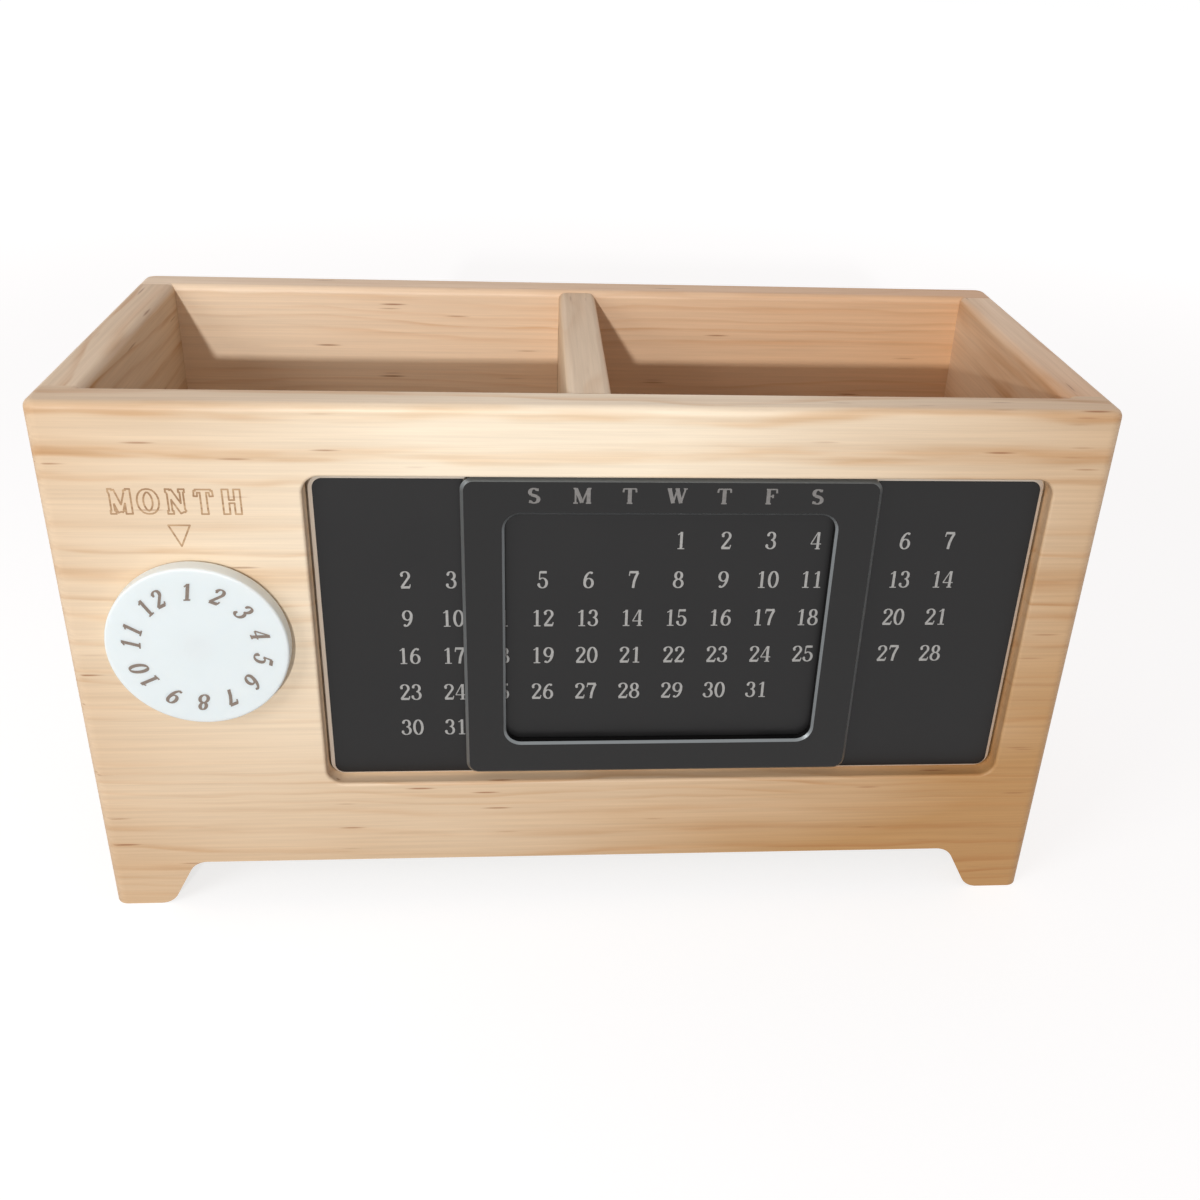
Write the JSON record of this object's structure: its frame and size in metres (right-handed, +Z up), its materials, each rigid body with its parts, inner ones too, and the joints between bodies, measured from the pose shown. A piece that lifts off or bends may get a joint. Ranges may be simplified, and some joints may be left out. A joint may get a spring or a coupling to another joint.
{
  "type": "desk calendar",
  "caption": "Open-topped wooden pen box on feet with a centre divider, a date board with a sliding weekday window in its front, and a turning month dial.",
  "frame": {"origin": "bottom centre of the whole object's bounding box, dial included, on the surface it stands on", "axes": "+X to the right along the front board, +Y from the front to the back, +Z up"},
  "size_m": [0.19, 0.0836, 0.109],
  "materials": {
    "pine": "sanded solid pine, thin matt oil",
    "plywood": "sanded birch plywood",
    "beech": "turned beech rod",
    "black_sheet": "satin black powder coat with printed dates and bright cut bevels",
    "adhesive": "double-sided film",
    "black_lacquer": "gloss black lacquer with bright cut bevels",
    "nickel": "nickel plated magnet",
    "glide_film": "low-friction film",
    "white_plastic": "satin white plastic with printed numbers",
    "brass": "turned brass",
    "zinc_steel": "bright zinc plate",
    "spring_steel": "blued spring steel",
    "nylon": "natural nylon"
  },
  "bodies": {
    "box": {"front_panel": "pine", "back_panel": "pine", "left_side_panel": "pine", "right_side_panel": "pine", "floor_panel": "plywood", "center_divider": "pine", "corner_dowels": "beech", "calendar_board": "black_sheet", "board_adhesive": "adhesive", "dial_bush": "nylon", "dial_washer": "zinc_steel"},
    "slider": {"slider_frame": "black_lacquer", "slider_magnets": "nickel", "slider_glide_pads": "glide_film"},
    "dial": {"month_dial": "white_plastic", "dial_insert": "brass", "dial_screw": "zinc_steel", "dial_spring_washer": "spring_steel"}
  },
  "joints": [
    {"name": "slider_slide", "type": "slide", "parent": "box", "child": "slider", "axis": [1, 0, 0], "range_m": [-0.0269, 0.031]},
    {"name": "dial_spin", "type": "hinge", "parent": "box", "child": "dial", "pos_m": [-0.0704, -0.04, 0.0634], "axis": [0, -1, 0], "continuous": true}
  ]
}
